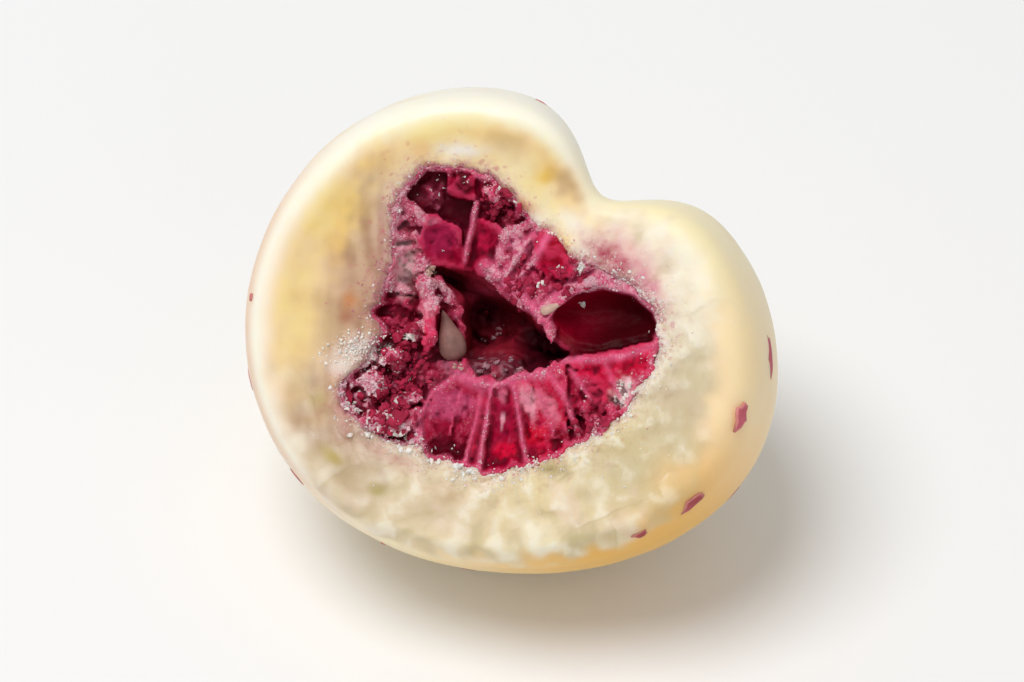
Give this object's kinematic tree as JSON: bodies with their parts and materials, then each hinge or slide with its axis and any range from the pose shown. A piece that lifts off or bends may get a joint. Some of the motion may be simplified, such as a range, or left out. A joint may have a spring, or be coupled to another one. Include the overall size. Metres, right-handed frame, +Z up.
{
  "type": "yogurt-covered raspberry",
  "caption": "Bitten sweet: a heart-shaped lump of pale yogurt coating round a dried raspberry, its bite showing the hollow berry and its opened cells. Rests on a flat spot.",
  "frame": {"origin": "centre of the bounding box in plan, at the underside, where the sweet's flat spot touches what it rests on", "axes": "+X to the right across the bite and the longest extent, +Y away from the viewer, +Z up; the bite faces -Y and up, 45 degrees between the two"},
  "size_m": [0.0254, 0.0226, 0.0224],
  "materials": {
    "coating": "satin",
    "berry": "matte"
  },
  "bodies": {
    "root": {"yogurt_coating": "coating", "raspberry": "berry"}
  },
  "joints": []
}
